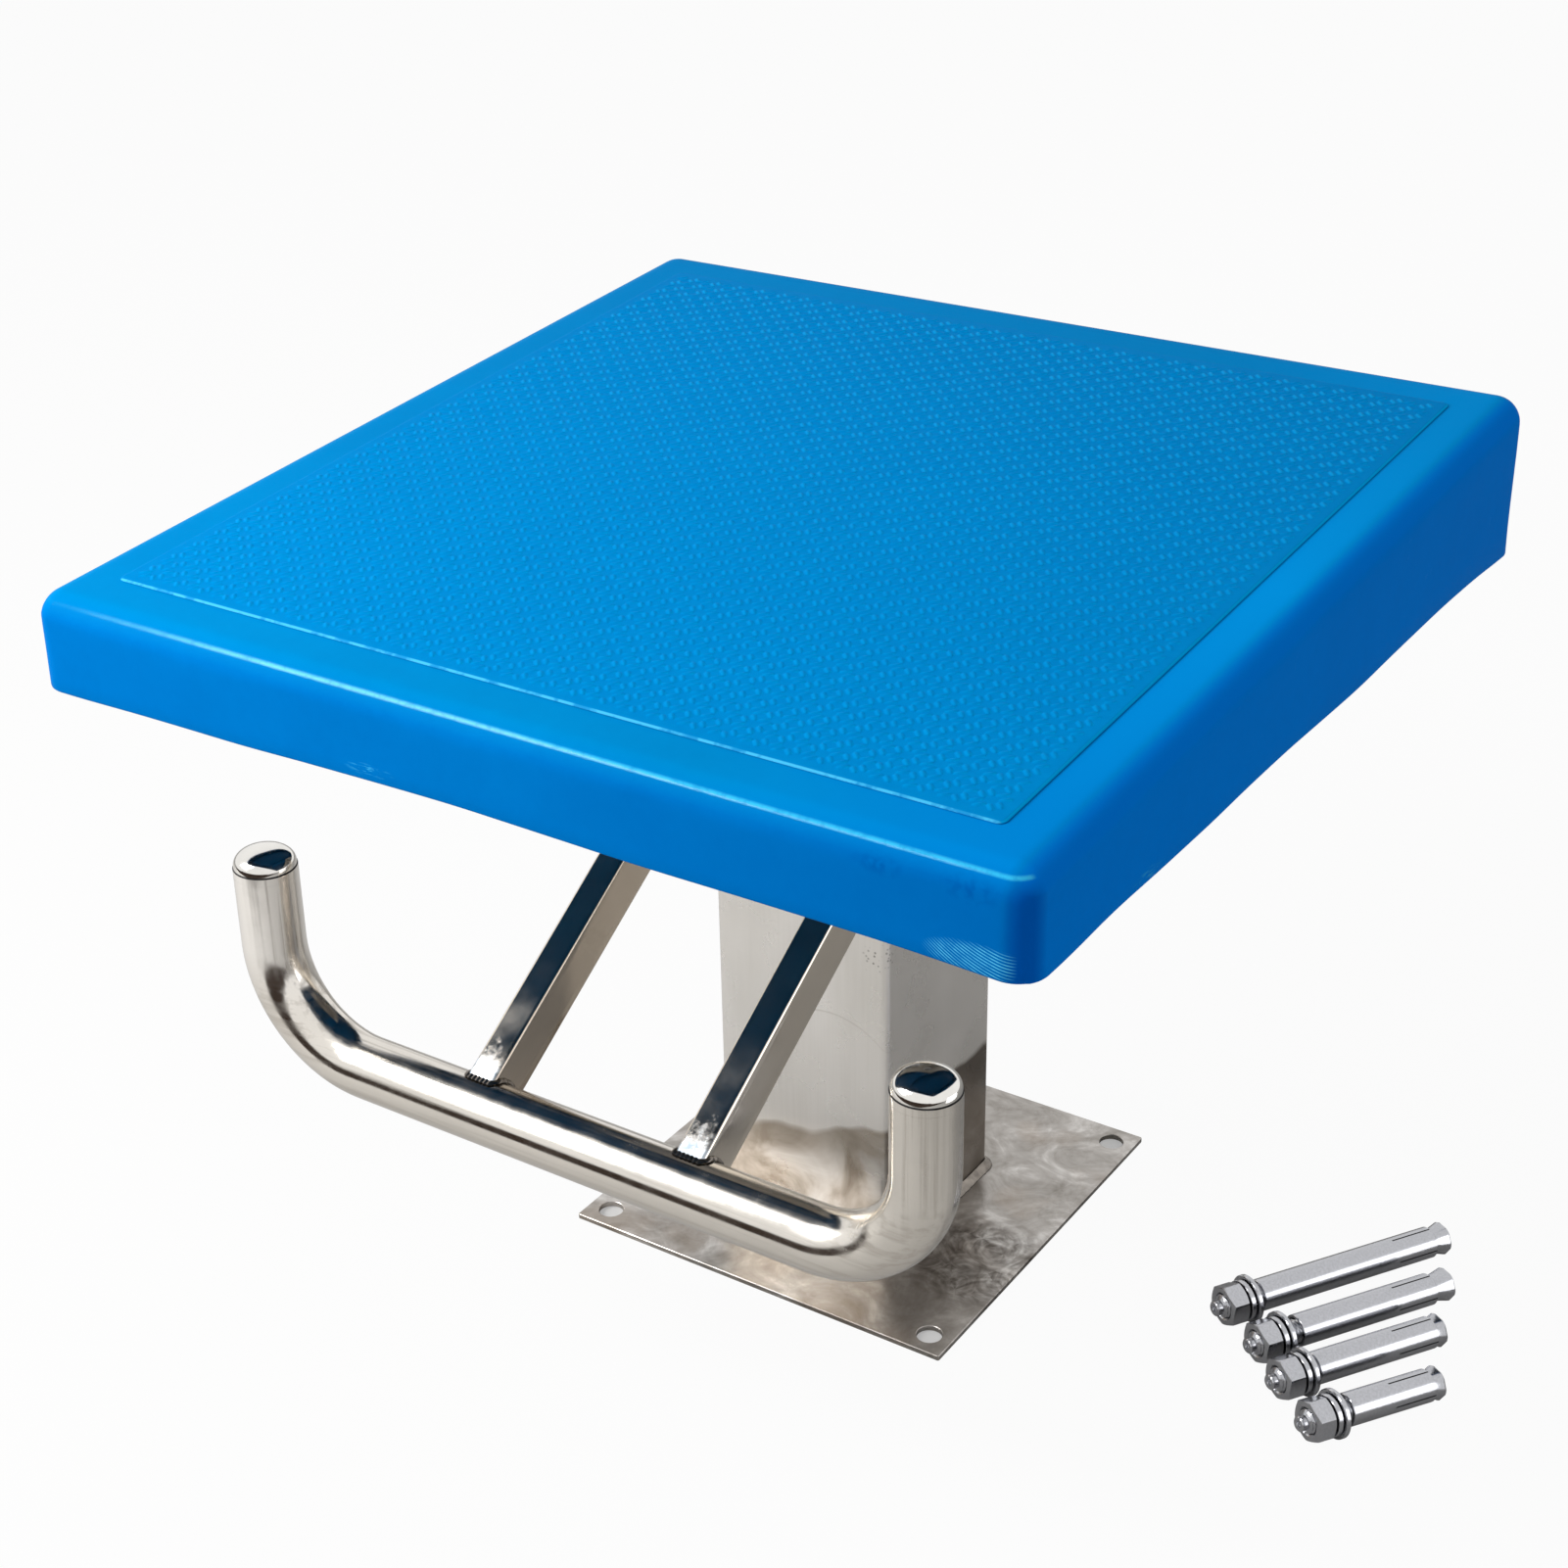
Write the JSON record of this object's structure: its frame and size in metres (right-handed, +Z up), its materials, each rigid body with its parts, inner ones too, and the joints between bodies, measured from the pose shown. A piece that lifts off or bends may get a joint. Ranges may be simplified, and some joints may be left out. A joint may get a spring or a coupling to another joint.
{
  "type": "pool diving platform",
  "caption": "Sloping fibreglass deck with an anti-slip panel on a square steel post and base plate, a hand bar on struts in front, and loose expansion anchors beside it.",
  "frame": {"origin": "centre of the base plate's underside, on the pool deck", "axes": "+Z up, -Y towards the water, +X to the left of a swimmer who faces the water from the deck's back edge"},
  "size_m": [0.5788, 0.488, 0.4262],
  "materials": {
    "blue_fibreglass": "moulded gelcoat, satin gloss",
    "coated_timber": "laminated over in blue resin",
    "plywood": "laminated over in blue resin",
    "satin_steel": "satin stainless sheet",
    "ground_steel": "ground in swirls",
    "polished_steel": "mirror polished stainless",
    "weld_metal": "as welded, brushed",
    "zinc_plate": "bright zinc plate"
  },
  "bodies": {
    "platform": {"base_plate": "ground_steel", "base_weld": "weld_metal", "post": "satin_steel", "head_plate": "satin_steel", "head_weld_front": "weld_metal", "head_weld_back": "weld_metal", "strut_left": "polished_steel", "strut_right": "polished_steel", "strut_weld_left": "weld_metal", "strut_weld_right": "weld_metal", "bar_weld_left": "weld_metal", "bar_weld_right": "weld_metal", "hand_bar": "polished_steel", "end_cap_left": "polished_steel", "end_cap_right": "polished_steel", "deck_shell": "blue_fibreglass", "tread_panel": "blue_fibreglass", "core_board": "plywood", "rail_left": "coated_timber", "rail_right": "coated_timber", "deck_bolt_1": "zinc_plate", "deck_bolt_1_flat_washer": "zinc_plate", "deck_bolt_1_spring_washer": "zinc_plate", "insert_nut_1": "zinc_plate", "deck_bolt_2": "zinc_plate", "deck_bolt_2_flat_washer": "zinc_plate", "deck_bolt_2_spring_washer": "zinc_plate", "insert_nut_2": "zinc_plate", "deck_bolt_3": "zinc_plate", "deck_bolt_3_flat_washer": "zinc_plate", "deck_bolt_3_spring_washer": "zinc_plate", "insert_nut_3": "zinc_plate", "deck_bolt_4": "zinc_plate", "deck_bolt_4_flat_washer": "zinc_plate", "deck_bolt_4_spring_washer": "zinc_plate", "insert_nut_4": "zinc_plate"},
    "anchor_1": {"anchor_1_stud": "zinc_plate"},
    "anchor_1_sleeve": {"anchor_1_sleeve": "zinc_plate"},
    "anchor_1_washers": {"anchor_1_flat_washer": "zinc_plate", "anchor_1_spring_washer": "zinc_plate"},
    "anchor_1_nut": {"anchor_1_nut": "zinc_plate"},
    "anchor_2": {"anchor_2_stud": "zinc_plate"},
    "anchor_2_sleeve": {"anchor_2_sleeve": "zinc_plate"},
    "anchor_2_washers": {"anchor_2_flat_washer": "zinc_plate", "anchor_2_spring_washer": "zinc_plate"},
    "anchor_2_nut": {"anchor_2_nut": "zinc_plate"},
    "anchor_3": {"anchor_3_stud": "zinc_plate"},
    "anchor_3_sleeve": {"anchor_3_sleeve": "zinc_plate"},
    "anchor_3_washers": {"anchor_3_flat_washer": "zinc_plate", "anchor_3_spring_washer": "zinc_plate"},
    "anchor_3_nut": {"anchor_3_nut": "zinc_plate"},
    "anchor_4": {"anchor_4_stud": "zinc_plate"},
    "anchor_4_sleeve": {"anchor_4_sleeve": "zinc_plate"},
    "anchor_4_washers": {"anchor_4_flat_washer": "zinc_plate", "anchor_4_spring_washer": "zinc_plate"},
    "anchor_4_nut": {"anchor_4_nut": "zinc_plate"}
  },
  "joints": [
    {"name": "anchor_1_lift", "type": "slide", "parent": "platform", "child": "anchor_1", "axis": [0, 0, 1], "range_m": [0, 0.05]},
    {"name": "anchor_1_sleeve_slide", "type": "slide", "parent": "anchor_1", "child": "anchor_1_sleeve", "axis": [0.5072, 0.8611, -0.0349], "range_m": [-0.0037, 0]},
    {"name": "anchor_1_washers_slide", "type": "slide", "parent": "anchor_1", "child": "anchor_1_washers", "axis": [0.5072, 0.8611, -0.0349], "range_m": [-0.005, 0.0037]},
    {"name": "anchor_1_nut_turn", "type": "hinge", "parent": "anchor_1_washers", "child": "anchor_1_nut", "pos_m": [0.21199, -0.01729, 0.01274], "axis": [0.5072, 0.8611, -0.0349], "range_deg": [-1029, 762]},
    {"name": "anchor_2_lift", "type": "slide", "parent": "platform", "child": "anchor_2", "axis": [0, 0, 1], "range_m": [0, 0.05]},
    {"name": "anchor_2_sleeve_slide", "type": "slide", "parent": "anchor_2", "child": "anchor_2_sleeve", "axis": [0.5071, 0.8609, -0.042], "range_m": [-0.0067, 0]},
    {"name": "anchor_2_washers_slide", "type": "slide", "parent": "anchor_2", "child": "anchor_2_washers", "axis": [0.5071, 0.8609, -0.042], "range_m": [-0.005, 0.0067]},
    {"name": "anchor_2_nut_turn", "type": "hinge", "parent": "anchor_2_washers", "child": "anchor_2_nut", "pos_m": [0.23748, -0.03509, 0.01289], "axis": [0.5071, 0.8609, -0.042], "range_deg": [-1029, 1379]},
    {"name": "anchor_3_lift", "type": "slide", "parent": "platform", "child": "anchor_3", "axis": [0, 0, 1], "range_m": [0, 0.05]},
    {"name": "anchor_3_sleeve_slide", "type": "slide", "parent": "anchor_3", "child": "anchor_3_sleeve", "axis": [0.5068, 0.8604, -0.0528], "range_m": [-0.0032, 0]},
    {"name": "anchor_3_washers_slide", "type": "slide", "parent": "anchor_3", "child": "anchor_3_washers", "axis": [0.5068, 0.8604, -0.0528], "range_m": [-0.005, 0.0032]},
    {"name": "anchor_3_nut_turn", "type": "hinge", "parent": "anchor_3_washers", "child": "anchor_3_nut", "pos_m": [0.2575, -0.05431, 0.01312], "axis": [0.5068, 0.8604, -0.0528], "range_deg": [-1029, 659]},
    {"name": "anchor_4_lift", "type": "slide", "parent": "platform", "child": "anchor_4", "axis": [0, 0, 1], "range_m": [0, 0.05]},
    {"name": "anchor_4_sleeve_slide", "type": "slide", "parent": "anchor_4", "child": "anchor_4_sleeve", "axis": [0.5063, 0.8594, -0.0711], "range_m": [-0.0047, 0]},
    {"name": "anchor_4_washers_slide", "type": "slide", "parent": "anchor_4", "child": "anchor_4_washers", "axis": [0.5063, 0.8594, -0.0711], "range_m": [-0.005, 0.0047]},
    {"name": "anchor_4_nut_turn", "type": "hinge", "parent": "anchor_4_washers", "child": "anchor_4_nut", "pos_m": [0.28137, -0.07487, 0.0135], "axis": [0.5063, 0.8594, -0.0711], "range_deg": [-1029, 967]}
  ],
  "couplings": [
    {"joint": "anchor_1_nut_turn", "follows": "anchor_1_washers_slide", "rad_per_m": 3590.4},
    {"joint": "anchor_2_nut_turn", "follows": "anchor_2_washers_slide", "rad_per_m": 3590.4},
    {"joint": "anchor_3_nut_turn", "follows": "anchor_3_washers_slide", "rad_per_m": 3590.4},
    {"joint": "anchor_4_nut_turn", "follows": "anchor_4_washers_slide", "rad_per_m": 3590.4}
  ]
}
